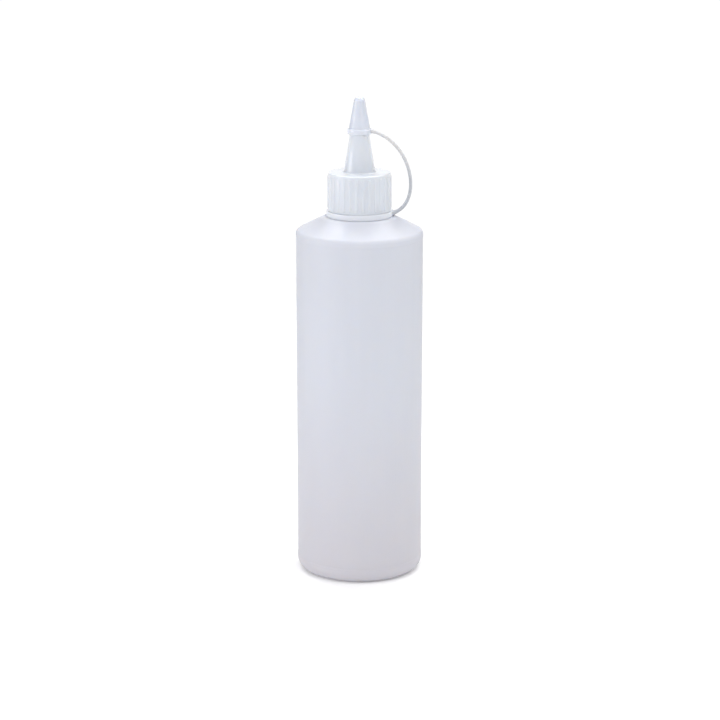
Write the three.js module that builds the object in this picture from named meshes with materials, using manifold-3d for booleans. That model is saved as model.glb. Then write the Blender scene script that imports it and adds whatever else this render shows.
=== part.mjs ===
// A squeeze bottle for sauces: a blow-moulded bottle, a ribbed screw cap that is one piece with its
// tapered spout, and a tether of one moulding: a ring under the cap, a bending strap and a tip cap.
import * as THREE from "three";
import { mergeVertices } from "three/addons/utils/BufferGeometryUtils.js";
import Module from "manifold-3d";

const wasm = await Module();
wasm.setup();

// Lengths are in millimetres and angles in degrees. Z points up, and the bottle stands on Z = 0.

// Room that is left between the pieces.
const fit = {
  seatGap: 0.3,
  threadClearance: 0.3,
  ringClearance: 0.4,
  plugClearance: 0.3,
  tipClearance: 0.3,
  overrun: 0.5,
};

// The bottle, with a 28 mm neck.
const bottle = {
  bodyDiameter: 62.4,
  wall: 1,
  baseCornerRadius: 5.6,
  straightHeight: 170.6,
  shoulderCornerRadius: 2.6,
  shoulderSlope: 26.8,
  panelRecess: 0.2,
  panelMargin: 1.4,
  panelStep: 0.8,
  standingRingWidth: 3,
  pushUpRise: 2.4,
  landWidth: 4.4,
  neckDiameter: 25,
  neckBore: 21.2,
  neckHeight: 19.8,
  neckRootRadius: 0.8,
  neckEdgeRadius: 0.5,
  threadDepth: 1.2,
  facets: 64,
};

// The screw cap.
const cap = {
  skirtWall: 1.3,
  skirtFlare: 0.25,
  footChamfer: 0.3,
  topThickness: 1.5,
  topEdgeRadius: 0.7,
  plugWall: 1.2,
  plugDepth: 3.2,
  plugLeadIn: 0.5,
  ribCount: 30,
  ribWidth: 1.4,
  ribHeight: 0.4,
  ribTopMargin: 1.6,
  ribFootMargin: 1.2,
};

// The spout, measured up from the top face of the cap.
const spout = {
  baseDiameter: 15.6,
  taper: 9.4,
  wall: 1.1,
  rootRadius: 1,
  tipEdgeRadius: 0.4,
  stopHeight: 18.7,
  stopThickness: 0.7,
  stopWidth: 0.3,
  nozzleStep: 0.14,
  nozzleTaper: 10.6,
  nozzleLength: 6.1,
};

// The ring of the tether.
const ring = {
  width: 2.2,
  height: 2.2,
  edgeChamfer: 0.45,
};

// The cap on the spout's tip.
const tip = {
  wall: 0.75,
  height: 17.9,
  domeRadius: 2.5,
  collarHeight: 2.2,
  collarWidth: 0.25,
  mouthChamfer: 0.2,
  facets: 40,
};

// The strap leaves the ring nearly level, swings out past the cap and comes back down to the tip cap.
const strap = {
  width: 3,
  thickness: 1.6,
  ringAngle: 15.6,
  ringPull: 15.4,
  tipAngle: -14.9,
  tipPull: 21.2,
  steps: 36,
  sides: 10,
};

const colours = {
  bottle: 0xd9dce2,
  closure: 0xdde1e8,
  tether: 0xd3d6db,
};

const radians = THREE.MathUtils.degToRad;
const point = (radius, height) => new THREE.Vector2(radius, height);

// The cap has two facets to a rib, so that each rib stands on the same facets.
const capFacets = 2 * cap.ribCount;

// Radii that several pieces share.
const bodyRadius = bottle.bodyDiameter / 2;
const neckRadius = bottle.neckDiameter / 2;
const boreRadius = bottle.neckBore / 2;
const landRadius = neckRadius + bottle.landWidth;
const threadRadius = neckRadius + bottle.threadDepth;
const skirtBoreRadius = threadRadius + fit.threadClearance;
const skirtTopRadius = skirtBoreRadius + cap.skirtWall;
const skirtFootRadius = skirtTopRadius + cap.skirtFlare;
const ringBoreRadius = threadRadius + fit.ringClearance;
const ringRadius = ringBoreRadius + ring.width;

// Heights above the table, each one stacked on the piece below it.
const slope = radians(bottle.shoulderSlope);
const shoulderEdge = point(
  bodyRadius - bottle.shoulderCornerRadius * (1 - Math.sin(slope)),
  bottle.straightHeight + bottle.shoulderCornerRadius * Math.cos(slope),
);
const landHeight = shoulderEdge.y + (shoulderEdge.x - landRadius) * Math.tan(slope);
const neckTop = landHeight + bottle.neckHeight;
const ringFoot = landHeight + fit.seatGap;
const skirtFoot = ringFoot + ring.height + fit.seatGap;
const capCeiling = neckTop + fit.seatGap;
const capTop = capCeiling + cap.topThickness;
const tipFoot = capTop + spout.stopHeight + fit.seatGap;

// Outer radius of the spout at a height above the cap's top face.
function spoutRadius(height) {
  return spout.baseDiameter / 2 - height * Math.tan(radians(spout.taper));
}

// Outer radius of the nozzle, which the tip cap goes over, at a height above the stop.
function nozzleRadius(height) {
  const footRadius = spoutRadius(spout.stopHeight) - spout.nozzleStep;
  return footRadius - height * Math.tan(radians(spout.nozzleTaper));
}

// Points of a round stretch of an outline, its two ends included.
function arc(centreRadius, centreHeight, radius, fromDegrees, toDegrees, steps) {
  const points = [];
  for (let step = 0; step <= steps; step += 1) {
    const angle = radians(fromDegrees + ((toDegrees - fromDegrees) * step) / steps);
    const across = centreRadius + radius * Math.cos(angle);
    points.push(point(across, centreHeight + radius * Math.sin(angle)));
  }
  return points;
}

// A solid of revolution about Z. The outline climbs its outer side and comes down its inner side.
function revolved(outline, facets = bottle.facets) {
  const geometry = new THREE.LatheGeometry(outline, facets);
  geometry.rotateX(Math.PI / 2);
  return geometry;
}

// The same, for an outline that doesn't touch the axis and closes on itself.
function revolvedRing(outline, facets = bottle.facets) {
  return revolved([...outline, outline[0].clone()], facets);
}

// A closed geometry as a solid that can be joined or cut.
function solid(geometry) {
  const bare = geometry.index ? geometry.toNonIndexed() : geometry.clone();
  bare.deleteAttribute("normal");
  bare.deleteAttribute("uv");
  const merged = mergeVertices(bare);
  return new wasm.Manifold(
    new wasm.Mesh({
      numProp: 3,
      vertProperties: merged.attributes.position.array,
      triVerts: new Uint32Array(merged.index.array),
    }),
  );
}

// A solid back as a geometry for a mesh.
function geometryOf(body) {
  const mesh = body.getMesh();
  const geometry = new THREE.BufferGeometry();
  geometry.setAttribute("position", new THREE.BufferAttribute(mesh.vertProperties, 3));
  geometry.setIndex(new THREE.BufferAttribute(mesh.triVerts, 1));
  geometry.computeVertexNormals();
  return geometry;
}

// A named piece of moulded plastic, set down at its height above the table.
function piece(name, geometry, colour, roughness, height = 0) {
  const material = new THREE.MeshStandardMaterial({ color: colour, roughness, metalness: 0 });
  const mesh = new THREE.Mesh(geometry, material);
  mesh.name = name;
  mesh.position.z = height;
  return mesh;
}

// The outside of the bottle, from the middle of its base to the top of its neck.
function bottleOutside() {
  const base = bottle.baseCornerRadius;
  const corner = bottle.shoulderCornerRadius;
  const panelRadius = bodyRadius - bottle.panelRecess;
  const panelFoot = base + bottle.panelMargin;
  const panelTop = bottle.straightHeight - bottle.panelMargin;
  const root = bottle.neckRootRadius;
  const edge = bottle.neckEdgeRadius;
  return [
    ...pushUp(0),
    ...arc(bodyRadius - base, base, base, -90, 0, 5),
    point(bodyRadius, panelFoot),
    point(panelRadius, panelFoot + bottle.panelStep),
    point(panelRadius, panelTop - bottle.panelStep),
    point(bodyRadius, panelTop),
    ...arc(bodyRadius - corner, bottle.straightHeight, corner, 0, 90 - bottle.shoulderSlope, 4),
    point(landRadius, landHeight),
    ...arc(neckRadius + root, landHeight + root, root, 270, 180, 3),
    ...arc(neckRadius - edge, neckTop - edge, edge, 0, 90, 2),
  ];
}

// The inside of the bottle, from the mouth of its neck down to the middle of its floor.
function bottleInside() {
  const inset = bottle.wall + bottle.panelRecess;
  const base = bottle.baseCornerRadius;
  const corner = bottle.shoulderCornerRadius;
  const ceiling = landHeight - inset;
  const innerLandRadius = landRadius - inset * Math.tan(slope / 2);
  return [
    point(boreRadius, neckTop),
    ...arc(boreRadius + inset, ceiling + inset, inset, 180, 270, 3),
    point(innerLandRadius, ceiling),
    ...arc(
      bodyRadius - corner, bottle.straightHeight, corner - inset, 90 - bottle.shoulderSlope, 0, 3),
    ...arc(bodyRadius - base, base, base - inset, 0, -90, 4),
    ...pushUp(inset).reverse(),
  ];
}

// The domed middle of the base, from the axis to the flat ring that the bottle stands on.
function pushUp(inset) {
  const edgeRadius = bodyRadius - bottle.baseCornerRadius - bottle.standingRingWidth;
  const rise = bottle.pushUpRise;
  const domeRadius = (edgeRadius ** 2 + rise ** 2) / (2 * rise);
  const reach = THREE.MathUtils.radToDeg(Math.asin(edgeRadius / domeRadius));
  const dome = arc(0, rise - domeRadius, domeRadius + inset, 90, 90 - reach, 4);
  dome[0].x = 0;
  return dome;
}

// Neck, shoulder, wall and base in one blown shell with an open mouth. The neck's thread is left to
// the finish.
function makeBottle() {
  return revolved([...bottleOutside(), ...bottleInside()]);
}

// Skirt, top, plug and spout in one outline, which climbs outside from the skirt's foot to the tip.
function capOutline() {
  const edge = cap.topEdgeRadius;
  const chamfer = cap.footChamfer;
  const top = capTop - skirtFoot;
  const ceiling = capCeiling - skirtFoot;
  return [
    point(skirtBoreRadius, 0),
    point(skirtFootRadius - chamfer, 0),
    point(skirtFootRadius, chamfer),
    ...arc(skirtTopRadius - edge, top - edge, edge, 0, 90, 3),
    ...spoutOutside(top),
    ...spoutInside(top, ceiling),
    ...plugOutline(ceiling),
    point(skirtBoreRadius, ceiling),
  ];
}

// The outside of the spout, with the low stop that the tip cap comes down to and the nozzle above it.
function spoutOutside(top) {
  const root = spout.rootRadius;
  const edge = spout.tipEdgeRadius;
  const stopFoot = spout.stopHeight - spout.stopThickness;
  const stopRadius = spoutRadius(stopFoot) + spout.stopWidth;
  const nozzleFoot = top + spout.stopHeight;
  const nozzleTop = nozzleFoot + spout.nozzleLength;
  const tipRadius = nozzleRadius(spout.nozzleLength);
  return [
    ...arc(spoutRadius(root) + root, top + root, root, 270, 180 + spout.taper, 3),
    point(spoutRadius(stopFoot - spout.stopWidth), top + stopFoot - spout.stopWidth),
    point(stopRadius, top + stopFoot),
    point(stopRadius, nozzleFoot),
    point(nozzleRadius(0), nozzleFoot),
    ...arc(tipRadius - edge, nozzleTop - edge, edge, 0, 90, 2),
  ];
}

// The inside of the spout, down from its tip to the cap's ceiling, where it opens out.
function spoutInside(top, ceiling) {
  const wall = spout.wall / Math.cos(radians(spout.taper));
  const nozzleWall = spout.wall / Math.cos(radians(spout.nozzleTaper));
  const nozzleFoot = top + spout.stopHeight;
  const stopFoot = spout.stopHeight - spout.stopThickness;
  const root = spout.rootRadius;
  const mouthHeight = ceiling + root - top;
  return [
    point(nozzleRadius(spout.nozzleLength) - nozzleWall, nozzleFoot + spout.nozzleLength),
    point(nozzleRadius(0) - nozzleWall, nozzleFoot),
    point(spoutRadius(stopFoot) - wall, top + stopFoot),
    ...arc(spoutRadius(mouthHeight) - wall + root, ceiling + root, root, 180, 270, 3),
  ];
}

// The ring under the cap's ceiling that plugs the bore of the neck.
function plugOutline(ceiling) {
  const outer = boreRadius - fit.plugClearance;
  const inner = outer - cap.plugWall;
  const foot = ceiling - cap.plugDepth;
  return [
    point(inner, ceiling),
    point(inner, foot),
    point(outer - cap.plugLeadIn, foot),
    point(outer, foot + cap.plugLeadIn),
    point(outer, ceiling),
  ];
}

// One grip rib: a low rounded bar up the skirt's whole side, leaning in with it.
function makeRib(skirtHeight) {
  const half = cap.ribWidth / 2;
  const outline = new THREE.Shape();
  outline.moveTo(-fit.overrun, -half);
  outline.lineTo(0, -half);
  outline.quadraticCurveTo(cap.ribHeight, -half, cap.ribHeight, 0);
  outline.quadraticCurveTo(cap.ribHeight, half, 0, half);
  outline.lineTo(-fit.overrun, half);
  const rib = new THREE.ExtrudeGeometry(outline, {
    depth: skirtHeight,
    curveSegments: 2,
    bevelEnabled: false,
  });
  rib.rotateY(-Math.atan(cap.skirtFlare / skirtHeight));
  rib.translate(skirtFootRadius, 0, 0);
  return rib;
}

// The band that the ribs keep to: its sloping ends run each rib out into the skirt.
function makeRibBand(skirtHeight) {
  const inner = skirtTopRadius - fit.overrun;
  const outer = skirtFootRadius + cap.ribHeight + fit.overrun;
  const foot = cap.ribFootMargin;
  const top = skirtHeight - cap.ribTopMargin;
  return revolvedRing([
    point(inner, foot),
    point(skirtTopRadius, foot),
    point(outer, foot + outer - skirtTopRadius),
    point(outer, top - outer + skirtTopRadius),
    point(skirtTopRadius, top),
    point(inner, top),
  ], capFacets);
}

// The screw cap with its grip ribs and spout. The cap's thread is left to the finish.
function makeSpoutCap() {
  const skirtHeight = capTop - skirtFoot;
  const ribs = [];
  for (let index = 0; index < cap.ribCount; index += 1) {
    const rib = makeRib(skirtHeight);
    rib.rotateZ((2 * Math.PI * index) / cap.ribCount);
    ribs.push(solid(rib));
  }
  const grip = wasm.Manifold.union(ribs).intersect(solid(makeRibBand(skirtHeight)));
  return geometryOf(solid(revolvedRing(capOutline(), capFacets)).add(grip));
}

// The ring that lies loose round the neck, between the bottle's land and the cap.
function makeRing() {
  const chamfer = ring.edgeChamfer;
  return revolvedRing([
    point(ringBoreRadius + chamfer, 0),
    point(ringRadius - chamfer, 0),
    point(ringRadius, chamfer),
    point(ringRadius, ring.height - chamfer),
    point(ringRadius - chamfer, ring.height),
    point(ringBoreRadius + chamfer, ring.height),
    point(ringBoreRadius, ring.height - chamfer),
    point(ringBoreRadius, chamfer),
  ]);
}

// Sizes of the tip cap's mouth, where it goes over the nozzle just above the stop.
const tipBoreRadius = nozzleRadius(0) + fit.tipClearance;
const collarRadius = tipBoreRadius + tip.wall + tip.collarWidth;

// The tip cap: a collar, a side that leans as the nozzle does and a domed end, open below.
function makeTipCap() {
  const taper = spout.nozzleTaper;
  const lean = Math.tan(radians(taper));
  const sideRadius = (height) => tipBoreRadius + tip.wall - height * lean;
  const domeHeight = tip.height - tip.domeRadius;
  const domeOffset = sideRadius(domeHeight) - tip.domeRadius * Math.cos(radians(taper));
  const boreDome = tip.domeRadius - tip.wall;
  const chamfer = tip.mouthChamfer;
  return revolved([
    point(0, domeHeight + boreDome),
    ...arc(domeOffset, domeHeight, boreDome, 90, taper, 4),
    point(tipBoreRadius, chamfer),
    point(tipBoreRadius + chamfer, 0),
    point(collarRadius - chamfer, 0),
    point(collarRadius, chamfer),
    point(collarRadius, tip.collarHeight - tip.collarWidth),
    point(sideRadius(tip.collarHeight), tip.collarHeight),
    ...arc(domeOffset, domeHeight, tip.domeRadius, taper, 90, 6),
    point(0, tip.height),
  ], tip.facets);
}

// The strap's middle line, from the ring's rim to the tip cap's collar, in the plane of X and Z.
function strapLine() {
  const from = new THREE.Vector3(ringRadius + fit.seatGap, 0, ringFoot + ring.height / 2);
  const to = new THREE.Vector3(collarRadius + fit.seatGap, 0, tipFoot + tip.collarHeight / 2);
  const leave = radians(strap.ringAngle);
  const arrive = radians(strap.tipAngle);
  const pull = (place, angle, length) =>
    new THREE.Vector3(Math.cos(angle), 0, Math.sin(angle)).multiplyScalar(length).add(place);
  return new THREE.CubicBezierCurve3(
    from,
    pull(from, leave, strap.ringPull),
    pull(to, arrive, strap.tipPull),
    to,
  );
}

// The bending strap, with an oval section that is wide across the bend.
function makeStrap() {
  const section = new THREE.Shape();
  section.absellipse(0, 0, strap.width / 2, strap.thickness / 2, 0, 2 * Math.PI);
  return new THREE.ExtrudeGeometry(section, {
    steps: strap.steps,
    curveSegments: strap.sides / 2,
    bevelEnabled: false,
    extrudePath: strapLine(),
  });
}

// The tether is one moulding. It is kept as the pieces that stay stiff and the strap that bends.
function makeTether() {
  const tether = new THREE.Group();
  tether.add(piece("tether_ring", makeRing(), colours.tether, 0.45, ringFoot));
  tether.add(piece("tether_strap", makeStrap(), colours.tether, 0.45));
  tether.add(piece("tip_cap", makeTipCap(), colours.tether, 0.4, tipFoot));
  return tether;
}

const group = new THREE.Group();
group.name = "condiment_squeeze_bottle";
group.add(piece("bottle", makeBottle(), colours.bottle, 0.4));
group.add(piece("spout_cap", makeSpoutCap(), colours.closure, 0.4, skirtFoot));
group.add(makeTether());

export default group;
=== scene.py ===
"""Dresses a squeeze bottle for sauces.

It is a blown bottle, a screw cap with its spout, and a tip cap on a tether. All sizes are in
metres, with Z up and the bottle standing on Z = 0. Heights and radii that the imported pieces
already have are read from the frame. The rest are fields of the class that uses them.
"""
import logging
import math
from collections.abc import Callable
from dataclasses import dataclass, field
from enum import Enum, IntEnum

import bmesh
import bpy
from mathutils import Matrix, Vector


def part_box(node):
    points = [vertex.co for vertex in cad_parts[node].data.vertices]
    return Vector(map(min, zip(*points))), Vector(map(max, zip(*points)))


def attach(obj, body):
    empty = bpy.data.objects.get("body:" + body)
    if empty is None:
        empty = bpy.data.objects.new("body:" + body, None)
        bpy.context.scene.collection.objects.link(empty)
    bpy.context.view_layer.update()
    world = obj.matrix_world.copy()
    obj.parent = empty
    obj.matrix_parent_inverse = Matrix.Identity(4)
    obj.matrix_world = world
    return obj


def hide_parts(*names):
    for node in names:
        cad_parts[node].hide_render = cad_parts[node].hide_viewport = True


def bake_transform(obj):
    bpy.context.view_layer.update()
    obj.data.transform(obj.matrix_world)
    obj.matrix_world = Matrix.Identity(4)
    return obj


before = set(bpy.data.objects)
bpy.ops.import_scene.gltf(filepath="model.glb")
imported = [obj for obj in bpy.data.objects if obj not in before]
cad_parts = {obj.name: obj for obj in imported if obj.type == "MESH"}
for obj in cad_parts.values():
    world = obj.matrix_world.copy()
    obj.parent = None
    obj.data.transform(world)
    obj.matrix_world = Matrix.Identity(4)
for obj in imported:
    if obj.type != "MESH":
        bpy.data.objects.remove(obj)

Piece = bpy.types.Object
Socket = bpy.types.NodeSocket
Outline = list[tuple[float, float]]
Colour = tuple[float, float, float]
Span = tuple[float, float]

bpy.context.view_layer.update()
ORIGIN = (0, 0, 0)
FULL_TURN = 2 * math.pi
QUARTER_TURN = math.pi / 2
UNIT: Span = (0, 1)
WHITE: Colour = (1.0, 1.0, 1.0)
BLACK: Colour = (0.0, 0.0, 0.0)
MERGE_DISTANCE = 2e-6
MM_PER_METRE = 1000

# Directions in an outline, in degrees from straight outwards.
OUT, UP, IN, DOWN = 0, 90, 180, 270

log = logging.getLogger("squeeze_bottle")


class Slot(Enum):
    """The record's material slots."""

    BOTTLE = "bottle"
    CLOSURE = "closure"
    TETHER = "tether"


class Body(Enum):
    """The bodies that the pieces ride on. Each has the name of the one node that it moves."""

    BOTTLE = "bottle"
    CAP = "spout_cap"
    RING = "tether_ring"
    STRAP = "tether_strap"
    TIP = "tip_cap"


class Facing(Enum):
    """Which way a thread's ridge stands out from the wall that carries it."""

    OUTWARD = 1
    INWARD = -1


class Steps(IntEnum):
    """How many straight steps a rounding in an outline gets."""

    LIP = 3
    EDGE = 4
    RIM = 5
    ROOT = 6
    SIDE = 8
    FLOOR = 10
    SHOULDER = 12
    CORNER = 14


def arc(
    across: float, height: float, radius: float, start: float, stop: float, steps: int
) -> Outline:
    """Gives the points of a round stretch of an outline, its two ends included.

    Args:
        across: Distance of the arc's centre from the axis.
        height: Height of the arc's centre.
        radius: Radius of the arc.
        start: Angle of the first point in degrees, from straight outwards.
        stop: Angle of the last point in degrees.
        steps: Number of equal steps.

    Returns:
        The points as pairs of distance from the axis and height.
    """
    points = []
    for step in range(steps + 1):
        angle = math.radians(start + (stop - start) * step / steps)
        points.append((across + radius * math.cos(angle), height + radius * math.sin(angle)))
    return points


def ease(share: float) -> float:
    """Turns a share from 0 to 1 into one that starts and ends gently."""
    held = min(max(share, 0.0), 1.0)
    return held * held * (3 - 2 * held)


def deselect() -> None:
    """Leaves nothing selected, so that an operator acts on the new piece alone."""
    if bpy.context.mode != "OBJECT":
        bpy.ops.object.mode_set(mode="OBJECT")
    bpy.ops.object.select_all(action="DESELECT")


def pick(piece: Piece) -> None:
    """Makes a piece the only one that is selected, and the active one.

    Args:
        piece: The piece to work on.
    """
    deselect()
    piece.select_set(True)
    bpy.context.view_layer.objects.active = piece


def edit(piece: Piece) -> None:
    """Picks a piece and opens its mesh in edit mode."""
    pick(piece)
    bpy.ops.object.mode_set(mode="EDIT")


def take_all() -> None:
    """Selects the whole mesh, in edit mode."""
    bpy.ops.mesh.select_all(action="SELECT")


def extrude(move: Vector) -> None:
    """Extrudes what is selected by a move."""
    bpy.ops.mesh.extrude_region_move(TRANSFORM_OT_translate={"value": move})


def rotate(angle: float, axis: str) -> None:
    """Turns what is selected about the origin. With no window the operator turns the other way."""
    bpy.ops.transform.rotate(value=-angle, orient_axis=axis, center_override=ORIGIN)


def resize(scale: tuple[float, float, float], centre: tuple[float, float, float]) -> None:
    """Scales what is selected about a centre."""
    bpy.ops.transform.resize(value=scale, center_override=centre)


def one_vertex(name: str, place: Vector) -> Piece:
    """Starts a mesh from a plane that is merged to one vertex, and leaves it in edit mode.

    Args:
        name: Name of the new piece.
        place: Where the vertex stands.

    Returns:
        The new object, in edit mode with its vertex selected.
    """
    deselect()
    bpy.ops.mesh.primitive_plane_add(size=MERGE_DISTANCE)
    piece = bpy.context.object
    piece.name = piece.data.name = name
    bpy.ops.object.mode_set(mode="EDIT")
    bpy.ops.mesh.select_mode(type="VERT")
    take_all()
    bpy.ops.mesh.merge(type="CENTER")
    bpy.ops.transform.translate(value=place)
    return piece


def turn_outwards() -> None:
    """Turns all faces outwards, and goes from edit mode back to object mode."""
    take_all()
    bpy.ops.mesh.normals_make_consistent(inside=False)
    bpy.ops.object.mode_set(mode="OBJECT")


def close_up() -> None:
    """Merges doubles and turns all faces outwards, from edit mode back to object mode."""
    take_all()
    bpy.ops.mesh.remove_doubles(threshold=MERGE_DISTANCE)
    turn_outwards()


def turned(name: str, outline: Outline, steps: int) -> Piece:
    """Draws an outline beside the axis as a chain of edges and spins it a full turn.

    Args:
        name: Name of the new piece.
        outline: Points of the outline, which ends on the axis or on its own first point.
        steps: Facets in the full turn.

    Returns:
        The closed piece, in object mode.
    """
    places = [Vector((across, 0, height)) for across, height in outline]
    piece = one_vertex(name, places[0])
    for before, after in zip(places, places[1:]):
        extrude(after - before)
    take_all()
    bpy.ops.mesh.spin(steps=steps, angle=FULL_TURN, center=ORIGIN, axis=(0, 0, 1))
    close_up()
    return piece


def select_faces(piece: Piece, wanted: Callable[[Vector, Vector], bool]) -> int:
    """Selects the faces that pass a test of their place and normal, in edit mode.

    Args:
        piece: The object in edit mode.
        wanted: Test of a face's middle and its normal.

    Returns:
        How many faces are selected.
    """
    bpy.ops.mesh.select_mode(type="FACE")
    bpy.ops.mesh.select_all(action="DESELECT")
    mesh = bmesh.from_edit_mesh(piece.data)
    chosen = [face for face in mesh.faces if wanted(face.calc_center_median(), face.normal)]
    for face in chosen:
        face.select_set(True)
    bmesh.update_edit_mesh(piece.data)
    return len(chosen)


def smooth(piece: Piece, sharpest: float = 50) -> None:
    """Shades a piece smoothly, except across edges sharper than an angle in degrees."""
    pick(piece)
    bpy.ops.object.shade_smooth_by_angle(angle=math.radians(sharpest))


def unite(piece: Piece, added: Piece) -> None:
    """Joins a second solid to a piece as one moulding.

    Args:
        piece: The piece that gains the solid.
        added: The solid, which is used up.
    """
    pick(piece)
    modifier = piece.modifiers.new("moulded_on", "BOOLEAN")
    modifier.operation = "UNION"
    modifier.solver = "EXACT"
    modifier.object = added
    bpy.ops.object.modifier_apply(modifier=modifier.name)
    bpy.data.objects.remove(added)


@dataclass
class Graph:
    """A node tree that ends in one shader, and the kinds of node that the finishes are made of."""

    tree: bpy.types.NodeTree
    shader: bpy.types.Node

    def add(self, kind: str) -> bpy.types.Node:
        """Adds a node of a kind."""
        return self.tree.nodes.new("ShaderNode" + kind)

    def join(self, output: Socket, into: Socket) -> None:
        """Links an output to an input."""
        self.tree.links.new(output, into)

    def feed(self, output: Socket, name: str) -> None:
        """Links an output to one of the shader's own inputs."""
        self.join(output, self.shader.inputs[name])

    def set(self, values: dict[str, object]) -> None:
        """Sets what is the same all over the surface straight on the shader's own inputs."""
        for name, value in values.items():
            self.shader.inputs[name].default_value = value

    def place(self) -> Socket:
        """Adds the Object coordinates."""
        return self.add("TexCoord").outputs["Object"]

    def height(self, place: Socket) -> Socket:
        """Adds the height above the table.

        Args:
            place: The Object coordinates.

        Returns:
            Their height.
        """
        axes = self.add("SeparateXYZ")
        self.join(place, axes.inputs["Vector"])
        return axes.outputs["Z"]

    def ranged(self, value: Socket, given: Span, wanted: Span, soft: bool = False) -> Socket:
        """Turns one span of values into another, and holds the value at the span's ends.

        Args:
            value: The value that goes in.
            given: The span that the value runs through.
            wanted: The span that comes out.
            soft: Whether the change starts and ends gently.

        Returns:
            The value that comes out.
        """
        change = self.add("MapRange")
        change.interpolation_type = "SMOOTHSTEP" if soft else "LINEAR"
        for name, limit in zip(("From Min", "From Max", "To Min", "To Max"), (*given, *wanted)):
            change.inputs[name].default_value = limit
        self.join(value, change.inputs["Value"])
        return change.outputs["Result"]

    def mixed(self, share: Socket, low: Colour, high: Colour | Socket) -> Socket:
        """Mixes two colours.

        Args:
            share: How much of the high colour there is.
            low: The colour at a share of 0.
            high: The colour at a share of 1.

        Returns:
            The mixed colour.
        """
        mix = self.add("Mix")
        mix.data_type = "RGBA"
        below, above = (socket for socket in mix.inputs if socket.type == "RGBA")
        below.default_value = (*low, 1)
        if isinstance(high, bpy.types.NodeSocket):
            self.join(high, above)
        else:
            above.default_value = (*high, 1)
        self.join(share, mix.inputs["Factor"])
        return next(socket for socket in mix.outputs if socket.type == "RGBA")

    def noise(self, place: Socket, across: float, along: float, octaves: int = 2) -> Socket:
        """Adds a noise whose blotches have a real size.

        Args:
            place: The Object coordinates.
            across: Size of a blotch across the axis.
            along: Size of a blotch along the axis.
            octaves: Octaves of finer noise.

        Returns:
            The noise, from 0 to 1.
        """
        mapping = self.add("Mapping")
        mapping.inputs["Scale"].default_value = (1 / across, 1 / across, 1 / along)
        noise = self.add("TexNoise")
        noise.inputs["Scale"].default_value = 1
        noise.inputs["Detail"].default_value = octaves
        self.join(place, mapping.inputs["Vector"])
        self.join(mapping.outputs["Vector"], noise.inputs["Vector"])
        return noise.outputs["Fac"]


def start_material(name: str) -> tuple[bpy.types.Material, Graph]:
    """Starts a node material.

    Args:
        name: Name of the material.

    Returns:
        The material, and its tree with the shader that it ends in.
    """
    material = bpy.data.materials.new(name)
    material.use_nodes = True
    tree = material.node_tree
    return material, Graph(tree, tree.nodes["Principled BSDF"])


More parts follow.
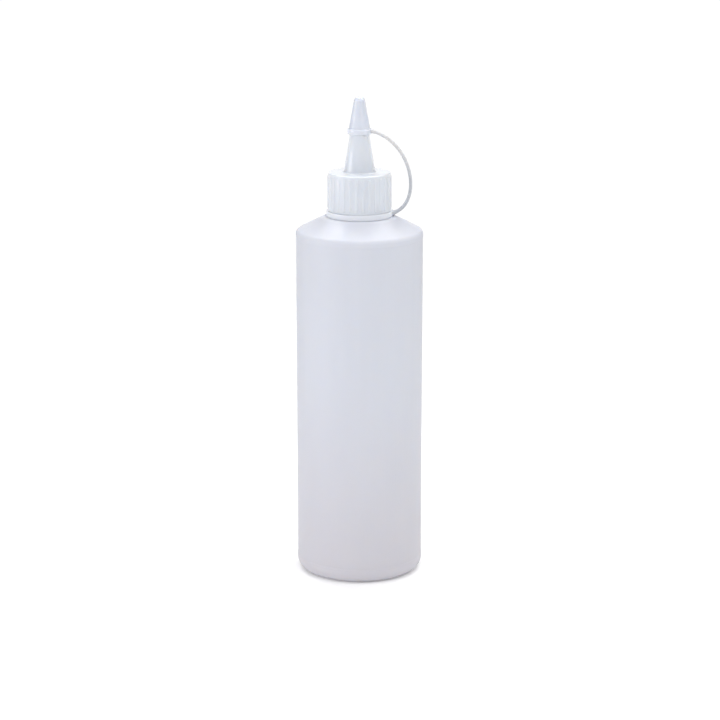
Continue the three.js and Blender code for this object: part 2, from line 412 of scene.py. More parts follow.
@dataclass(frozen=True)
class MilkyPlastic:
    """Milky polyethylene: light sinks in and comes back out soft, under a satin moulded skin whose
    coat, where it is tinted, paints shade along the rims.
    """

    name: str
    tone: Colour
    cloud_tone: Colour
    cloud_span: Span = (0.3, 0.7)
    # The tone below is painted light and shade low on a piece, faded out between the two heights
    # after it: painted shade at the bottle's foot and on the strap's lower part, painted light on
    # the tether's ring.
    painted_foot_tone: Colour | None = None
    painted_foot_level: float = 0.0
    painted_foot_height: float = 0.12
    roughness: float = 0.42
    roughness_play: float = 0.06
    cloud_width: float = 0.016
    cloud_length: float = 0.140
    grain_size: float = 0.0006
    grain_depth: float = 0.000012
    streak_width: float = 0.0028
    streak_length: float = 0.090
    streak_depth: float = 0.00005
    scatter: Colour = (1.0, 0.85, 0.7)
    scatter_reach: float = 0.0022
    scatter_share: float = 0.6
    ior: float = 1.5
    shine: float = 0.45
    rim_shine: float = 0.45
    rim_start: float = 0.55
    coat: float = 0.0
    coat_roughness: float = 0.2
    coat_ior: float = 1.5
    # A coat tint other than white is painted shade: the tinted coat darkens the wall where it
    # turns away from the view, along the rims.
    rim_shade_tint: Colour = WHITE
    coat_fade: Span | None = None

    def make(self) -> bpy.types.Material:
        """Builds the material.

        Returns:
            A node material on Object coordinates.
        """
        material, graph = start_material(self.name)
        graph.set({
            "IOR": self.ior,
            "Specular IOR Level": self.shine,
            "Coat Weight": self.coat,
            "Coat Roughness": self.coat_roughness,
            "Coat IOR": self.coat_ior,
            "Coat Tint": (*self.rim_shade_tint, 1),
            "Subsurface Weight": self.scatter_share,
            "Subsurface Radius": self.scatter,
            "Subsurface Scale": self.scatter_reach,
        })
        place = graph.place()
        streak = graph.noise(place, self.streak_width, self.streak_length)
        self.colour(graph, place)
        self.gloss(graph, streak)
        self.quiet_rim(graph)
        if self.coat_fade is not None:
            self.end_coat(graph, place)
        self.relief(graph, place, streak)
        return material

    def colour(self, graph: Graph, place: Socket) -> None:
        """Mixes the two tones in soft clouds, and fades them into a painted tone low down: painted
        shade at the bottle's foot and on the strap's lower part, painted light on the tether's
        ring.

        Args:
            graph: The material's nodes.
            place: The Object coordinates.
        """
        ramp = graph.add("ValToRGB")
        ramp.color_ramp.interpolation = "EASE"
        stops = zip(ramp.color_ramp.elements, self.cloud_span, (self.cloud_tone, self.tone))
        for stop, position, tone in stops:
            stop.position = position
            stop.color = (*tone, 1)
        cloud = graph.noise(place, self.cloud_width, self.cloud_length)
        graph.join(cloud, ramp.inputs["Fac"])
        colour = ramp.outputs["Color"]
        # Painted light and shade: low on the piece the colour takes the painted tone, which stands
        # for how light falls there.
        if self.painted_foot_tone is not None:
            foot = (self.painted_foot_level, self.painted_foot_height)
            rise = graph.ranged(graph.height(place), foot, UNIT, soft=True)
            colour = graph.mixed(rise, self.painted_foot_tone, colour)
        graph.feed(colour, "Base Color")

    def gloss(self, graph: Graph, streak: Socket) -> None:
        """Lets the satin skin vary along the flow of the plastic."""
        play = (self.roughness - self.roughness_play, self.roughness + self.roughness_play)
        graph.feed(graph.ranged(streak, UNIT, play), "Roughness")

    def quiet_rim(self, graph: Graph) -> None:
        """Dulls the gloss where the wall turns away, as a frosted skin does.

        Args:
            graph: The material's nodes.
        """
        turn = graph.add("LayerWeight").outputs["Facing"]
        level = graph.ranged(turn, (self.rim_start, 1), (self.shine, self.rim_shine))
        graph.feed(level, "Specular IOR Level")

    def end_coat(self, graph: Graph, place: Socket) -> None:
        """Lets the tinted coat, and its painted rim shade, run out between two heights, so that
        the land and the neck under the ring are left without it.
        """
        weight = graph.ranged(graph.height(place), self.coat_fade, (self.coat, 0))
        graph.feed(weight, "Coat Weight")

    def relief(self, graph: Graph, place: Socket, streak: Socket) -> None:
        """Adds the mould's fine grain over faint flow lines.

        Args:
            graph: The material's nodes.
            place: The Object coordinates.
            streak: The noise drawn out along the flow.
        """
        grain = graph.noise(place, self.grain_size, self.grain_size)
        normal = None
        for height, depth in ((streak, self.streak_depth), (grain, self.grain_depth)):
            bump = graph.add("Bump")
            bump.inputs["Strength"].default_value = 1
            bump.inputs["Distance"].default_value = depth
            graph.join(height, bump.inputs["Height"])
            if normal is not None:
                graph.join(normal, bump.inputs["Normal"])
            normal = bump.outputs["Normal"]
        graph.feed(normal, "Normal")


@dataclass(frozen=True)
class Paper:
    """The pale paper that the bottle stands on. Away from the bottle it is lit from below."""

    tone: Colour = (0.90, 0.90, 0.90)
    fade: Span = (0.10, 0.70)
    glow: Span = (0.14, 1.03)
    roughness: float = 0.8
    fibre_size: float = 0.004

    def make(self) -> bpy.types.Material:
        """Builds the paper's material.

        Returns:
            A matt white, which turns from lit paper to an even glow away from the bottle.
        """
        material, graph = start_material("pale_paper")
        graph.set({"Specular IOR Level": 0, "Emission Color": (*WHITE, 1)})
        place = graph.place()
        length = graph.add("VectorMath")
        length.operation = "LENGTH"
        graph.join(place, length.inputs[0])
        reach = length.outputs["Value"]
        graph.feed(graph.ranged(reach, self.fade, self.glow, soft=True), "Emission Strength")
        paper = graph.ranged(reach, self.fade, (1, 0), soft=True)
        graph.feed(graph.mixed(paper, BLACK, self.tone), "Base Color")
        fibre = graph.noise(place, self.fibre_size, self.fibre_size)
        graph.feed(graph.ranged(fibre, UNIT, (self.roughness, 1)), "Roughness")
        return material


def dress(piece: Piece, finish: MilkyPlastic) -> None:
    """Gives a finished piece its material.

    Args:
        piece: The finished piece.
        finish: The finish that it wears.
    """
    piece.data.materials.clear()
    piece.data.materials.append(finish.make())


def settle(piece: Piece, finish: MilkyPlastic, body: Body) -> None:
    """Dresses a rigid piece, which stands for its body's node and rides on that body.

    Args:
        piece: The finished piece.
        finish: The finish that it wears.
        body: The body that it rides on.
    """
    dress(piece, finish)
    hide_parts(body.value)
    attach(piece, body.value)


def report(piece: Piece) -> None:
    """Logs a finished piece with its size in millimetres."""
    size = " x ".join(f"{MM_PER_METRE * side:.1f}" for side in piece.dimensions)
    log.info("%s: %s mm, %d faces", piece.name, size, len(piece.data.polygons))


@dataclass
class ThreadRidge:
    """A screw thread's single ridge, run in and out at its two ends."""

    root_radius: float
    height: float
    facing: Facing
    start_height: float
    pitch: float = 0.004233
    turns: float = 1.5
    root_width: float = 0.0023
    crest_width: float = 0.0009
    sunk: float = 0.0003
    run_in: float = 0.12
    least_share: float = 0.12
    steps_per_turn: int = 64
    first_angle: float = 0.0
    foot: float = field(init=False)

    def __post_init__(self) -> None:
        """Sinks the ridge's foot into the wall that carries it."""
        self.foot = self.root_radius - self.facing.value * self.sunk

    def section(self) -> Outline:
        """Draws the ridge's full section.

        Returns:
            Its corners, from one side of the foot over the crest to the other side.
        """
        crest = self.root_radius + self.facing.value * self.height
        wide, narrow = self.root_width / 2, self.crest_width / 2
        return [
            (self.foot, -wide), (self.root_radius, -wide), (crest, -narrow),
            (crest, narrow), (self.root_radius, wide), (self.foot, wide),
        ]

    def build(self, name: str) -> Piece:
        """Sweeps the ridge's section up the helix.

        Args:
            name: Name of the new piece.

        Returns:
            The closed ridge, in object mode.
        """
        corners = self.section()
        piece = one_vertex(name, Vector((corners[0][0], 0, self.start_height + corners[0][1])))
        for (before, low), (after, high) in zip(corners, corners[1:]):
            extrude(Vector((after - before, 0, high - low)))
        take_all()
        bpy.ops.mesh.edge_face_add()
        rotate(self.first_angle, "Z")
        share = self.share_at(0)
        self.shrink(self.first_angle, self.start_height, share)
        steps = round(self.turns * self.steps_per_turn)
        for step in range(1, steps + 1):
            extrude(Vector((0, 0, self.pitch / self.steps_per_turn)))
            rotate(FULL_TURN / self.steps_per_turn, "Z")
            angle = self.first_angle + FULL_TURN * step / self.steps_per_turn
            height = self.start_height + self.pitch * step / self.steps_per_turn
            wanted = self.share_at(step / steps)
            self.shrink(angle, height, wanted / share)
            share = wanted
        close_up()
        return piece

    def share_at(self, along: float) -> float:
        """Gives how full the ridge's section is at a share of its length."""
        from_end = min(along, 1 - along) / self.run_in
        return self.least_share + (1 - self.least_share) * ease(from_end)

    def shrink(self, angle: float, height: float, share: float) -> None:
        """Scales the selected section about its foot, which stands at an angle and a height."""
        centre = (self.foot * math.cos(angle), self.foot * math.sin(angle), height)
        resize((share, share, share), centre)


@dataclass
class Bottle:
    """The blown bottle: base, wall, shoulder and threaded neck in one shell."""

    finish: MilkyPlastic
    wall: float = 0.0012
    base_corner: float = 0.0056
    ring_width: float = 0.0030
    push_up_rise: float = 0.0024
    straight_height: float = 0.1706
    shoulder_corner: float = 0.0026
    shoulder_slope: float = 26.8
    panel_recess: float = 0.0002
    panel_margin: float = 0.0014
    panel_step: float = 0.0008
    land_width: float = 0.0044
    neck_radius: float = 0.0125
    bore_radius: float = 0.0106
    neck_height: float = 0.0198
    neck_root: float = 0.0008
    neck_edge: float = 0.0005
    thread_radius: float = 0.0137
    thread_start: float = 0.1884
    seam_width: float = 0.0004
    seam_height: float = 0.00006
    skin_tolerance: float = 0.00005
    pinch_width: float = 0.0007
    pinch_height: float = 0.0004
    pinch_reach: float = 0.017
    pinch_fade: float = 0.0032
    facets: int = 160
    radius: float = field(init=False)
    top: float = field(init=False)
    land: float = field(init=False)
    land_radius: float = field(init=False)
    dome_radius: float = field(init=False)
    slope: float = field(init=False)

    def __post_init__(self) -> None:
        """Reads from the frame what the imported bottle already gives."""
        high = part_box("bottle")[1]
        self.radius = high.x
        self.top = high.z
        self.land = self.top - self.neck_height
        self.land_radius = self.neck_radius + self.land_width
        self.dome_radius = self.radius - self.base_corner - self.ring_width
        self.slope = math.radians(self.shoulder_slope)

    def build(self) -> Piece:
        """Models the bottle.

        Returns:
            The finished mesh.
        """
        piece = turned("bottle_shell", self.outside() + self.inside(), self.facets)
        self.raise_seam(piece)
        ridge = ThreadRidge(
            root_radius=self.neck_radius,
            height=self.thread_radius - self.neck_radius,
            facing=Facing.OUTWARD,
            start_height=self.thread_start,
        )
        unite(piece, ridge.build("neck_thread"))
        smooth(piece)
        return piece

    def dome(self, inset: float) -> Outline:
        """Draws the domed middle of the base, from the axis outwards.

        Args:
            inset: How far the dome is raised into the wall.

        Returns:
            The dome's points.
        """
        edge, rise = self.dome_radius, self.push_up_rise
        radius = (edge ** 2 + rise ** 2) / (2 * rise)
        reach = math.degrees(math.asin(edge / radius))
        points = arc(0, rise - radius, radius + inset, UP, UP - reach, Steps.CORNER)
        return [(0.0, points[0][1]), *points[1:]]

    def outside(self) -> Outline:
        """Draws the outer side.

        Returns:
            The points from the middle of the base to the top of the neck.
        """
        panel = self.radius - self.panel_recess
        foot = self.base_corner + self.panel_margin
        top = self.straight_height - self.panel_margin
        corner, shoulder = self.base_corner, self.shoulder_corner
        root, edge = self.neck_root, self.neck_edge
        slope_foot = self.land_radius + root * math.tan(self.slope / 2)
        return [
            *self.dome(0),
            *arc(self.radius - corner, corner, corner, -UP, OUT, Steps.CORNER),
            (self.radius, foot),
            *self.step(self.radius, panel, foot, foot + self.panel_step),
            *self.step(panel, self.radius, top - self.panel_step, top),
            *arc(
                self.radius - shoulder, self.straight_height, shoulder,
                OUT, UP - self.shoulder_slope, Steps.SHOULDER,
            ),
            *arc(slope_foot, self.land + root, root, DOWN - self.shoulder_slope, DOWN, Steps.EDGE),
            *arc(self.neck_radius + root, self.land + root, root, DOWN, IN, Steps.ROOT),
            *arc(self.neck_radius - edge, self.top - edge, edge, OUT, UP, Steps.RIM),
        ]

    @staticmethod
    def step(from_radius: float, to_radius: float, low: float, high: float) -> Outline:
        """Draws the soft step between the wall and its slightly sunk panel.

        Args:
            from_radius: Radius below the step.
            to_radius: Radius above the step.
            low: Height where the step starts.
            high: Height where the step ends.

        Returns:
            The step's points, from below upwards.
        """
        shares = [count / Steps.EDGE for count in range(1, Steps.EDGE + 1)]
        return [
            (from_radius + (to_radius - from_radius) * ease(share), low + (high - low) * share)
            for share in shares
        ]

    def inside(self) -> Outline:
        """Draws the inner side.

        Returns:
            The points from the mouth of the neck down to the middle of the floor.
        """
        inset = self.wall
        ceiling = self.land - inset
        corner, shoulder, edge = self.base_corner, self.shoulder_corner, self.neck_edge
        return [
            *arc(self.bore_radius + edge, self.top - edge, edge, UP, IN, Steps.EDGE),
            *arc(self.bore_radius + inset, ceiling + inset, inset, IN, DOWN, Steps.ROOT),
            (self.land_radius - inset * math.tan(self.slope / 2), ceiling),
            *arc(
                self.radius - shoulder, self.straight_height, shoulder - inset,
                UP - self.shoulder_slope, OUT, Steps.SIDE,
            ),
            *arc(self.radius - corner, corner, corner - inset, OUT, -UP, Steps.FLOOR),
            *reversed(self.dome(inset)),
        ]

    def raise_seam(self, piece: Piece) -> None:
        """Raises the line that the mould's halves leave, and the pinched weld under the base.

        Args:
            piece: The turned shell.
        """
        edit(piece)
        beside = (self.seam_width, self.pinch_width)
        for offset in (-beside[1], -beside[0], 0, *beside):
            take_all()
            bpy.ops.mesh.bisect(plane_co=(0, offset, 0), plane_no=(0, 1, 0))
        for vertex in bmesh.from_edit_mesh(piece.data).verts:
            place = vertex.co
            across = abs(place.y)
            if vertex.normal.z < 0 and self.on_dome(place):
                beyond = abs(place.x) - self.pinch_reach + self.seam_width
                reach = 1 - ease(beyond / self.pinch_fade)
                place.z -= self.pinch_height * reach * (1 - ease(across / self.pinch_width))
            elif across < self.seam_width / 2 and self.on_skin(place):
                place += vertex.normal * self.seam_height
        bmesh.update_edit_mesh(piece.data)
        turn_outwards()

    def on_dome(self, place: Vector) -> bool:
        """Tells whether a point is on the domed middle of the base, below the wall's middle."""
        low = place.z < self.push_up_rise + self.wall / 2
        return low and math.hypot(place.x, place.y) < self.dome_radius

    def on_skin(self, place: Vector) -> bool:
        """Tells whether a point is on the outer skin where the seam may stand inside the box.

        Args:
            place: The point.

        Returns:
            Whether it is on the sunk panel or on the shoulder's slope.
        """
        across = math.hypot(place.x, place.y)
        on_panel = abs(across - (self.radius - self.panel_recess)) < self.skin_tolerance
        on_slope = self.straight_height + self.shoulder_corner < place.z < self.land
        return on_panel or (on_slope and across > self.land_radius)

    def dress(self, piece: Piece) -> None:
        """Gives the bottle its finish and body."""
        settle(piece, self.finish, Body.BOTTLE)


@dataclass
class SpoutCap:
    """The screw cap: ribbed skirt, top, plug ring, inner thread and tapered spout."""

    finish: MilkyPlastic
    thread_bore: float = 0.0140
    skirt_wall: float = 0.0013
    skirt_flare: float = 0.00025
    foot_edge: float = 0.00005
    top_thickness: float = 0.0015
    top_edge: float = 0.0007
    plug_radius: float = 0.0103
    plug_wall: float = 0.0012
    plug_depth: float = 0.0032
    plug_lead_in: float = 0.0005
    rib_count: int = 30
    columns_per_rib: int = 8
    columns_raised: int = 4
    rib_foot_margin: float = 0.0012
    rib_top_margin: float = 0.0016
    rib_slope: float = 0.00018
    rib_height: float = 0.00021
    rib_crown: float = 0.00006
    spout_radius: float = 0.0078
    taper: float = 9.4
    spout_wall: float = 0.0011
    nozzle_step: float = 0.00014
    nozzle_taper: float = 10.6
    nozzle_length: float = 0.0061
    root: float = 0.0010
    tip_edge: float = 0.0004
    stop_height: float = 0.0187
    stop_thickness: float = 0.0007
    stop_width: float = 0.0003
    stop_start: float = -40
    thread_height: float = 0.0010
    thread_start: float = 0.1878
    sharpest: float = 40
    foot: float = field(init=False)
    top: float = field(init=False)
    rib_foot: float = field(init=False)
    rib_top: float = field(init=False)
    lean: float = field(init=False)
    nozzle_lean: float = field(init=False)
    columns: int = field(init=False)

    def __post_init__(self) -> None:
        """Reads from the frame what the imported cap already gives."""
        low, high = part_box("spout_cap")
        self.foot = low.z
        self.top = high.z - self.nozzle_length - self.stop_height
        self.rib_foot = self.foot + self.rib_foot_margin
        self.rib_top = self.top - self.rib_top_margin
        self.lean = math.radians(self.taper)
        self.nozzle_lean = math.radians(self.nozzle_taper)
        self.columns = self.rib_count * self.columns_per_rib

    def build(self) -> Piece:
        """Models the cap.

        Returns:
            The finished mesh.
        """
        piece = turned("spout_cap_moulding", self.outline(), self.columns)
        self.raise_ribs(piece)
        ridge = ThreadRidge(
            root_radius=self.thread_bore,
            height=self.thread_height,
            facing=Facing.INWARD,
            start_height=self.thread_start,
            first_angle=math.pi,
        )
        unite(piece, ridge.build("cap_thread"))
        smooth(piece, self.sharpest)
        return piece

    def spout_at(self, height: float) -> float:
        """Gives the spout's outer radius at a height above the cap's top face."""
        return self.spout_radius - height * math.tan(self.lean)

    def nozzle_at(self, height: float) -> float:
        """Gives the nozzle's outer radius at a height above the stop."""
        foot = self.spout_at(self.stop_height) - self.nozzle_step
        return foot - height * math.tan(self.nozzle_lean)

    def skirt_at(self, height: float) -> float:
        """Gives the skirt's outer radius at a height above the table."""
        share = (self.top - height) / (self.top - self.foot)
        return self.thread_bore + self.skirt_wall + self.skirt_flare * share

    def bore_step(self) -> float:
        """Gives the spout's wall, measured level across it."""
        return self.spout_wall / math.cos(self.lean)

    def outline(self) -> Outline:
        """Draws the whole moulding.

        Returns:
            The points up its outside from the skirt's foot, down its inside and back.
        """
        ceiling = self.top - self.top_thickness
        skirt_top = self.thread_bore + self.skirt_wall
        skirt_foot = skirt_top + self.skirt_flare
        foot_edge, top_edge, root = self.foot_edge, self.top_edge, self.root
        inner_root = self.spout_at(root - self.top_thickness) - self.bore_step() + root
        plug_bore = self.plug_radius - self.plug_wall
        plug_foot = ceiling - self.plug_depth
        drawn = [
            (self.thread_bore, self.foot),
            *arc(
                skirt_foot - foot_edge, self.foot + foot_edge, foot_edge, -UP, OUT, Steps.EDGE
            ),
            (self.skirt_at(self.rib_foot), self.rib_foot),
            (self.skirt_at(self.rib_top), self.rib_top),
            *arc(skirt_top - top_edge, self.top - top_edge, top_edge, OUT, UP, Steps.ROOT),
            *self.spout(),
            *arc(inner_root, ceiling + root, root, IN, DOWN, Steps.RIM),
            (plug_bore, ceiling),
            (plug_bore, plug_foot),
            (self.plug_radius - self.plug_lead_in, plug_foot),
            (self.plug_radius, plug_foot + self.plug_lead_in),
            (self.plug_radius, ceiling),
            (self.thread_bore, ceiling),
        ]
        return [*drawn, drawn[0]]

    def spout(self) -> Outline:
        """Draws the spout with its stop bead and nozzle.

        Returns:
            The points up its outside, round the tip and down the bore.
        """
        bead_foot = self.stop_height - self.stop_thickness
        bead = self.spout_at(bead_foot) + self.stop_width
        bead_root = bead_foot - self.stop_width
        stop_top = self.top + self.stop_height
        end = stop_top + self.nozzle_length
        tip = self.nozzle_at(self.nozzle_length)
        nozzle_step = self.spout_wall / math.cos(self.nozzle_lean)
        bore = tip - nozzle_step
        root, edge = self.root, self.tip_edge
        half = self.stop_thickness / 2
        lip = edge / 2
        return [
            *arc(
                self.spout_at(root) + root, self.top + root, root,
                DOWN, IN + self.taper, Steps.SIDE,
            ),
            (self.spout_at(bead_root), self.top + bead_root),
            *arc(
                bead - half, self.top + bead_foot + half, half, self.stop_start, UP, Steps.ROOT
            ),
            (self.nozzle_at(0), stop_top),
            *arc(tip - edge, end - edge, edge, OUT, UP, Steps.EDGE),
            *arc(bore + lip, end - lip, lip, UP, IN, Steps.LIP),
            (self.nozzle_at(0) - nozzle_step, stop_top),
            (self.spout_at(bead_foot) - self.bore_step(), self.top + bead_foot),
        ]

    def on_rib(self, middle: Vector, normal: Vector) -> bool:
        """Tells whether a face is in one of the strips that become ribs.

        Args:
            middle: The face's middle.
            normal: The face's normal.

        Returns:
            Whether it is on the skirt's outer side, in a raised column.
        """
        column = math.floor(math.atan2(middle.y, middle.x) / FULL_TURN * self.columns)
        outer = normal.x * middle.x + normal.y * middle.y > 0
        in_rib = (column + self.columns_raised // 2) % self.columns_per_rib
        return outer and in_rib < self.columns_raised and self.rib_foot < middle.z < self.rib_top

    def raise_ribs(self, piece: Piece) -> None:
        """Raises the grip ribs from strips of the skirt's outer side, in two insets.

        Args:
            piece: The turned moulding.
        """
        edit(piece)
        count = select_faces(piece, self.on_rib)
        for depth in (self.rib_height, self.rib_crown):
            bpy.ops.mesh.inset(thickness=self.rib_slope, depth=depth, use_boundary=True)
        bpy.ops.object.mode_set(mode="OBJECT")
        log.info("ribs: %d strips raised", count)

    def dress(self, piece: Piece) -> None:
        """Gives the cap its finish and body."""
        settle(piece, self.finish, Body.CAP)


@dataclass
class Tether:
    """The tether moulding: the ring under the cap, the strap and the cap on the spout's tip."""

    finish: MilkyPlastic
    shaded_strap_finish: MilkyPlastic
    ring_bore: float = 0.0141
    ring_edge: float = 0.00005
    seat_fill: float = 0.00029
    strap_width: float = 0.0030
    strap_thickness: float = 0.0016
    ring_angle: float = 15.6
    ring_pull: float = 0.0154
    tip_angle: float = -14.9
    tip_pull: float = 0.0212
    ring_sunk: float = 0.0006
    tip_sunk: float = 0.0006
    flare_width: float = 0.0020
    flare_thickness: float = 0.0004
    flare_length: float = 0.0028
    strap_steps: int = 64
    curve_steps: int = 64
    strap_corners: int = 20
    squareness: float = 0.55
    tip_wall: float = 0.00075
    tip_taper: float = 10.6
    dome_radius: float = 0.0025
    collar_height: float = 0.0022
    collar_width: float = 0.00025
    collar_fillet: float = 0.0002
    mouth_edge: float = 0.0002
    facets: int = 144
    bend_from: tuple[float, float, float] = (0.0165, 0, 0.2154)
    bend_to: tuple[float, float, float] = (0.0076, 0, 0.2205)

    def build_ring(self) -> Piece:
        """Models the ring that lies round the neck, close under the cap.

        Returns:
            The finished mesh.
        """
        low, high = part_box("tether_ring")
        edge = self.ring_edge
        below = low.z - self.seat_fill + edge
        above = high.z + self.seat_fill - edge
        outline = [
            *arc(high.x - edge, below, edge, -UP, OUT, Steps.RIM),
            *arc(high.x - edge, above, edge, OUT, UP, Steps.RIM),
            *arc(self.ring_bore + edge, above, edge, UP, IN, Steps.EDGE),
            *arc(self.ring_bore + edge, below, edge, IN, DOWN, Steps.EDGE),
        ]
        piece = turned("tether_ring_moulding", [*outline, outline[0]], self.facets)
        smooth(piece)
        return piece

    def build_tip(self) -> Piece:
        """Models the tip cap: a collar, a tapered side and a domed end, hollow and open below.

        Returns:
            The finished mesh.
        """
        low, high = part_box("tip_cap")
        lean = math.radians(self.tip_taper)
        collar = high.x
        side = collar - self.collar_width
        mouth = low.z - self.seat_fill
        round_out, round_in = self.dome_radius, self.dome_radius - self.tip_wall
        dome = high.z - round_out
        across = side - (dome - low.z) * math.tan(lean) - round_out * math.cos(lean)
        edge = self.mouth_edge
        fillet = self.collar_fillet
        collar_top = low.z + self.collar_height
        side_top = side - (collar_top + fillet - low.z) * math.tan(lean)
        bore = side - self.tip_wall
        outline = [
            (0.0, high.z - self.tip_wall),
            *arc(across, dome, round_in, UP, self.tip_taper, Steps.SIDE),
            (bore, mouth + edge),
            *arc(bore + edge, mouth + edge, edge, IN, DOWN, Steps.LIP),
            *arc(collar - edge, mouth + edge, edge, -UP, OUT, Steps.EDGE),
            *arc(collar - edge, collar_top - edge, edge, OUT, UP, Steps.EDGE),
            *arc(
                side_top + fillet, collar_top + fillet, fillet,
                DOWN, IN + self.tip_taper, Steps.EDGE,
            ),
            *arc(across, dome, round_out, self.tip_taper, UP, Steps.CORNER),
            (0.0, high.z),
        ]
        piece = turned("tip_cap_moulding", outline, self.facets)
        smooth(piece)
        return piece

    def path(self) -> list[Vector]:
        """Places the strap's middle line as the four points of a curve, in the plane of X and Z.

        Returns:
            The start, its handle, the end's handle and the end.
        """
        ring_low, ring_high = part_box("tether_ring")
        tip_low, tip_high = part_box("tip_cap")
        start = Vector((ring_high.x, 0, (ring_low.z + ring_high.z) / 2))
        stop = Vector((tip_high.x, 0, tip_low.z + self.collar_height / 2))
        leave = math.radians(self.ring_angle)
        arrive = math.radians(self.tip_angle)
        first = start + self.ring_pull * Vector((math.cos(leave), 0, math.sin(leave)))
        second = stop + self.tip_pull * Vector((math.cos(arrive), 0, math.sin(arrive)))
        return [start, first, second, stop]

    def draw_path(self) -> Piece:
        """Draws the strap's middle line as a flat curve, with its heights along Y.

        Returns:
            The curve.
        """
        start, first, second, stop = self.path()
        bpy.ops.curve.primitive_bezier_curve_add(radius=1)
        curve = bpy.context.object
        curve.data.dimensions = "2D"
        curve.data.resolution_u = self.curve_steps
        ring_end, tip_end = curve.data.splines[0].bezier_points
        for knot, place, handle in ((ring_end, start, first), (tip_end, stop, second)):
            knot.handle_left_type = knot.handle_right_type = "FREE"
            knot.co = (place.x, place.z, 0)
            knot.handle_right = knot.handle_left = (handle.x, handle.z, 0)
        ring_end.handle_left = 2 * ring_end.co - ring_end.handle_right
        tip_end.handle_right = 2 * tip_end.co - tip_end.handle_left
        return curve

    def section(self, x: float, length: float) -> tuple[float, float]:
        """Gives the strap's half width and half thickness at a place along it.

        Args:
            x: Distance along the strap from its ring end.
            length: Length of the strap.

        Returns:
            The half width and the half thickness.
        """
        near = 1 - ease(min(x, length - x) / self.flare_length)
        width = self.strap_width + self.flare_width * near
        return width / 2, (self.strap_thickness + self.flare_thickness * near) / 2

    def build_strap(self) -> Piece:
        """Models the strap straight, with flared roots, and then bends it along its curve.

        Returns:
            The finished mesh.
        """
        curve = self.draw_path()
        length = curve.data.splines[0].calc_length()
        deselect()
        bpy.ops.mesh.primitive_circle_add(vertices=self.strap_corners, radius=1, fill_type="NGON")
        piece = bpy.context.object
        piece.name = piece.data.name = "tether_strap_moulding"
        bpy.ops.object.mode_set(mode="EDIT")
        self.square_up(piece)
        take_all()
        rotate(-QUARTER_TURN, "Y")
        pitch = (length + self.ring_sunk + self.tip_sunk) / self.strap_steps
        places = [pitch * step - self.ring_sunk for step in range(self.strap_steps + 1)]
        half_width, half_thickness = self.section(0, length)
        resize((1, half_thickness, half_width), ORIGIN)
        bpy.ops.transform.translate(value=(places[0], 0, 0))
        for before, after in zip(places, places[1:]):
            extrude(Vector((after - before, 0, 0)))
            wide, thick = self.section(min(max(after, 0), length), length)
            resize((1, thick / half_thickness, wide / half_width), (after, 0, 0))
            half_width, half_thickness = wide, thick
        close_up()
        self.bend(piece, curve)
        smooth(piece)
        return piece

    def square_up(self, piece: Piece) -> None:
        """Turns the round section into a rounded rectangle of the same reach, in edit mode.

        Args:
            piece: The strap's section, a circle of radius one.
        """
        for vertex in bmesh.from_edit_mesh(piece.data).verts:
            for axis in (0, 1):
                value = vertex.co[axis]
                vertex.co[axis] = math.copysign(abs(value) ** self.squareness, value)
        bmesh.update_edit_mesh(piece.data)

    def bend(self, piece: Piece, curve: Piece) -> None:
        """Bends the straight strap along its curve and stands it up in the plane of X and Z.

        Args:
            piece: The straight strap along X.
            curve: The flat curve, which is used up.
        """
        pick(piece)
        modifier = piece.modifiers.new("bent", "CURVE")
        modifier.object = curve
        modifier.deform_axis = "POS_X"
        bpy.ops.object.modifier_apply(modifier=modifier.name)
        bpy.data.objects.remove(curve)
        rotate(QUARTER_TURN, "X")
        bpy.ops.object.transform_apply(location=True, rotation=True, scale=True)

    def dress(self, ring: Piece, strap: Piece, tip: Piece) -> None:
        """Gives the three pieces their finish, sets the ring and the tip cap on their bodies, and
        bakes the strap's place into its mesh.

        Args:
            ring: The ring round the neck.
            strap: The bending strap.
            tip: The cap on the spout's tip.
        """
        settle(ring, self.finish, Body.RING)
        settle(tip, self.finish, Body.TIP)
        # The strap's finish is painted shade: darker than the ring and the tip cap of the same
        # moulding.
        dress(strap, self.shaded_strap_finish)
        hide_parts(Body.STRAP.value)
        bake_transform(strap)


@dataclass(frozen=True)
class Softbox:
    """One square soft light, placed round the bottle by its angles in degrees."""

    name: str
    azimuth: float
    elevation: float
    distance: float
    side: float
    watts: float
    tone: Colour = WHITE


SOFTBOXES = [
    Softbox("overhead_softbox", 0, 80, 2.2, 2.4, 22.5),
    Softbox("left_softbox", -76, 11, 1.3, 0.6, 3.2, (1.0, 0.98, 1.0)),
    Softbox("right_softbox", 84, 48, 0.75, 0.45, 0.92, (1.0, 0.98, 0.96)),
    Softbox("front_left_softbox", -30, 38, 1.9, 1.2, 5.3, (0.99, 0.965, 1.0)),
    Softbox("front_right_softbox", 32, 38, 1.9, 1.2, 5.3, (1.0, 0.985, 0.98)),
    Softbox("back_left_softbox", -148, 58, 1.6, 0.5, 6.0),
    Softbox("back_right_softbox", 148, 58, 1.6, 0.5, 6.4),
    Softbox("backdrop_softbox", 180, 18, 2.2, 1.6, 5.0),
]


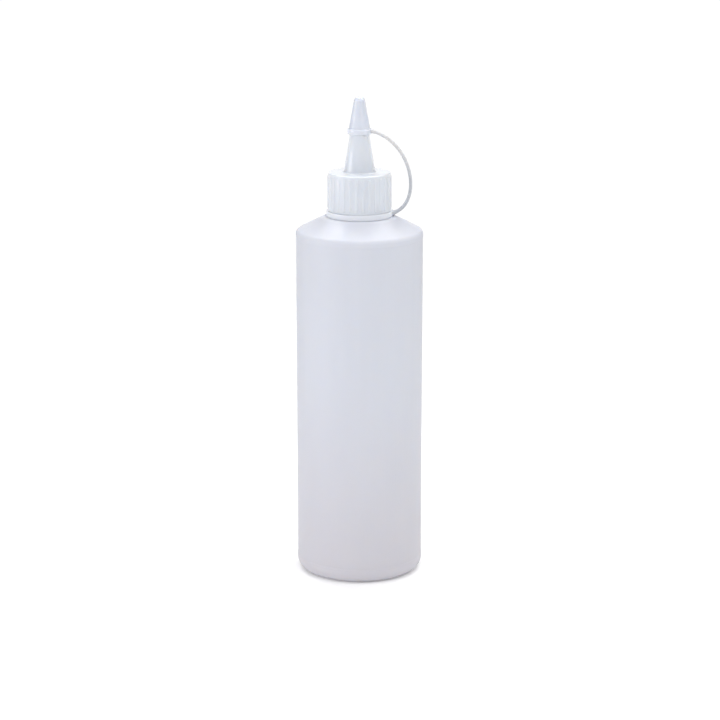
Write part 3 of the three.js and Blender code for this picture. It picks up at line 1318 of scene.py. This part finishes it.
@dataclass
class Studio:
    """The plain pale floor, the soft lights and the camera."""

    floor_half: float = 6.0
    floor_drop: float = 0.00005
    aim_height: float = 0.120
    camera_distance: float = 1.1224
    camera_elevation: float = 13.5
    focal_length: float = 113.4
    sensor_width: float = 36.0
    picture_side: int = 720
    aim_column: float = 359.5
    aim_row: float = 333.75
    world_strength: float = 0.34
    seen_strength: float = 1.08
    world_tone: Colour = (0.97, 0.98, 1.0)

    def build(self) -> None:
        """Sets up the floor, the world, the lights and the camera."""
        self.add_floor()
        self.light_world()
        for box in SOFTBOXES:
            self.add_softbox(box)
        self.add_camera()
        view = bpy.context.scene.view_settings
        view.view_transform = "Standard"
        view.look = "None"

    def add_floor(self) -> None:
        """Lays the paper under the bottle."""
        deselect()
        bpy.ops.mesh.primitive_plane_add(
            size=2 * self.floor_half, location=(0, 0, -self.floor_drop)
        )
        floor = bpy.context.object
        floor.name = "pale_floor"
        bpy.ops.object.transform_apply(location=True, rotation=True, scale=True)
        floor.data.materials.append(Paper().make())

    def light_world(self) -> None:
        """Fills the shadows with an even pale sky, which the camera sees as white as the paper."""
        world = bpy.data.worlds.new("studio_air")
        world.use_nodes = True
        graph = Graph(world.node_tree, world.node_tree.nodes["Background"])
        graph.set({"Color": (*self.world_tone, 1)})
        seen = graph.add("LightPath").outputs["Is Camera Ray"]
        strength = graph.ranged(seen, UNIT, (self.world_strength, self.seen_strength))
        graph.feed(strength, "Strength")
        bpy.context.scene.world = world

    def add_softbox(self, box: Softbox) -> None:
        """Hangs a soft light that faces the middle of the bottle and that the camera doesn't see.

        Args:
            box: The light's size, place and power.
        """
        lamp = bpy.data.lights.new(box.name, "AREA")
        lamp.shape = "SQUARE"
        lamp.size = box.side
        lamp.energy = box.watts
        lamp.color = box.tone
        holder = self.hang(lamp, box.azimuth, box.elevation, box.distance)
        holder.visible_camera = False

    def add_camera(self) -> None:
        """Places the camera at the photograph's angle and frames the bottle as it does."""
        lens = bpy.data.cameras.new("camera")
        camera = self.hang(lens, 0, self.camera_elevation, self.camera_distance)
        middle = self.picture_side / 2
        lens.sensor_width = self.sensor_width
        lens.lens = self.focal_length
        lens.shift_x = (middle - self.aim_column) / self.picture_side
        lens.shift_y = (self.aim_row - middle) / self.picture_side
        lens.dof.use_dof = False
        bpy.context.scene.camera = camera

    def hang(self, data: bpy.types.ID, azimuth: float, elevation: float, distance: float) -> Piece:
        """Hangs a light or a camera round the bottle, facing the height that it aims at.

        Args:
            data: The light or the camera.
            azimuth: Degrees to the right of the camera's side.
            elevation: Degrees above the horizon.
            distance: Distance from the point that it faces.

        Returns:
            The object that holds it.
        """
        side, rise = math.radians(azimuth), math.radians(elevation)
        level = math.cos(rise)
        away = Vector((math.sin(side) * level, -math.cos(side) * level, math.sin(rise)))
        holder = bpy.data.objects.new(data.name, data)
        bpy.context.scene.collection.objects.link(holder)
        holder.location = Vector((0, 0, self.aim_height)) + distance * away
        holder.rotation_euler = (-away).to_track_quat("-Z", "Y").to_euler()
        return holder


BODY_PLASTIC = MilkyPlastic(
    name="milky_bottle",
    tone=(0.735, 0.755, 0.82),
    cloud_tone=(0.715, 0.735, 0.80),
    # Painted shade: the bottle darkens towards its foot, from 0.12 m down to the table.
    painted_foot_tone=(0.665, 0.65, 0.69),
    roughness=0.38,
    shine=0.35,
    rim_shine=0.02,
    # Painted shade: the tinted coat darkens the bottle's rims where the wall turns away.
    coat=1.0,
    coat_roughness=0.4,
    coat_ior=1.05,
    rim_shade_tint=(0.935, 0.935, 0.94),
    coat_fade=(0.1783, 0.1795),
)
CAP_PLASTIC = MilkyPlastic(
    name="milky_cap",
    tone=(0.72, 0.755, 0.81),
    cloud_tone=(0.695, 0.73, 0.785),
    roughness=0.30,
    shine=0.6,
    coat=1.0,
    cloud_width=0.006,
    cloud_length=0.012,
    streak_width=0.0016,
    streak_length=0.006,
    streak_depth=0.00002,
)
TETHER_PLASTIC = MilkyPlastic(
    name="milky_tether",
    tone=(0.71, 0.745, 0.835),
    cloud_tone=(0.685, 0.72, 0.81),
    # Painted light: the ring round the neck, low in the shade under the cap, is lighter than the
    # tip cap of the same moulding.
    painted_foot_tone=(0.775, 0.805, 0.87),
    painted_foot_level=0.183,
    painted_foot_height=0.195,
    roughness=0.30,
    shine=0.6,
    coat=0.9,
    cloud_width=0.005,
    cloud_length=0.009,
    streak_width=0.0014,
    streak_length=0.005,
    streak_depth=0.00001,
    grain_depth=0.000005,
)
# Painted shade: the strap is the same plastic as the ring and the tip cap, set darker and greyer
# as it is edge-lit, and darker still along its lower part towards the ring, which is in shadow.
SHADED_STRAP_PLASTIC = MilkyPlastic(
    name="milky_strap_painted_shade",
    tone=(0.67, 0.675, 0.69),
    cloud_tone=(0.65, 0.655, 0.67),
    painted_foot_tone=(0.55, 0.57, 0.605),
    painted_foot_level=0.195,
    painted_foot_height=0.213,
    shine=0.25,
    rim_shine=0.02,
    cloud_width=0.004,
    cloud_length=0.009,
    roughness=0.36,
    streak_width=0.0014,
    streak_length=0.005,
    streak_depth=0.000004,
    grain_depth=0.000004,
    scatter_share=0.3,
    scatter_reach=0.0008,
)


def main() -> None:
    """Builds the pieces in order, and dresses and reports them."""
    logging.basicConfig(level=logging.INFO, format="%(name)s: %(message)s")
    bottle = Bottle(BODY_PLASTIC)
    shell = bottle.build()
    bottle.dress(shell)
    cap = SpoutCap(CAP_PLASTIC)
    moulding = cap.build()
    cap.dress(moulding)
    tether = Tether(TETHER_PLASTIC, SHADED_STRAP_PLASTIC)
    ring, strap, tip = tether.build_ring(), tether.build_strap(), tether.build_tip()
    tether.dress(ring, strap, tip)
    for piece in (shell, moulding, ring, strap, tip):
        report(piece)
    Studio().build()


if __name__ == "__main__":
    main()
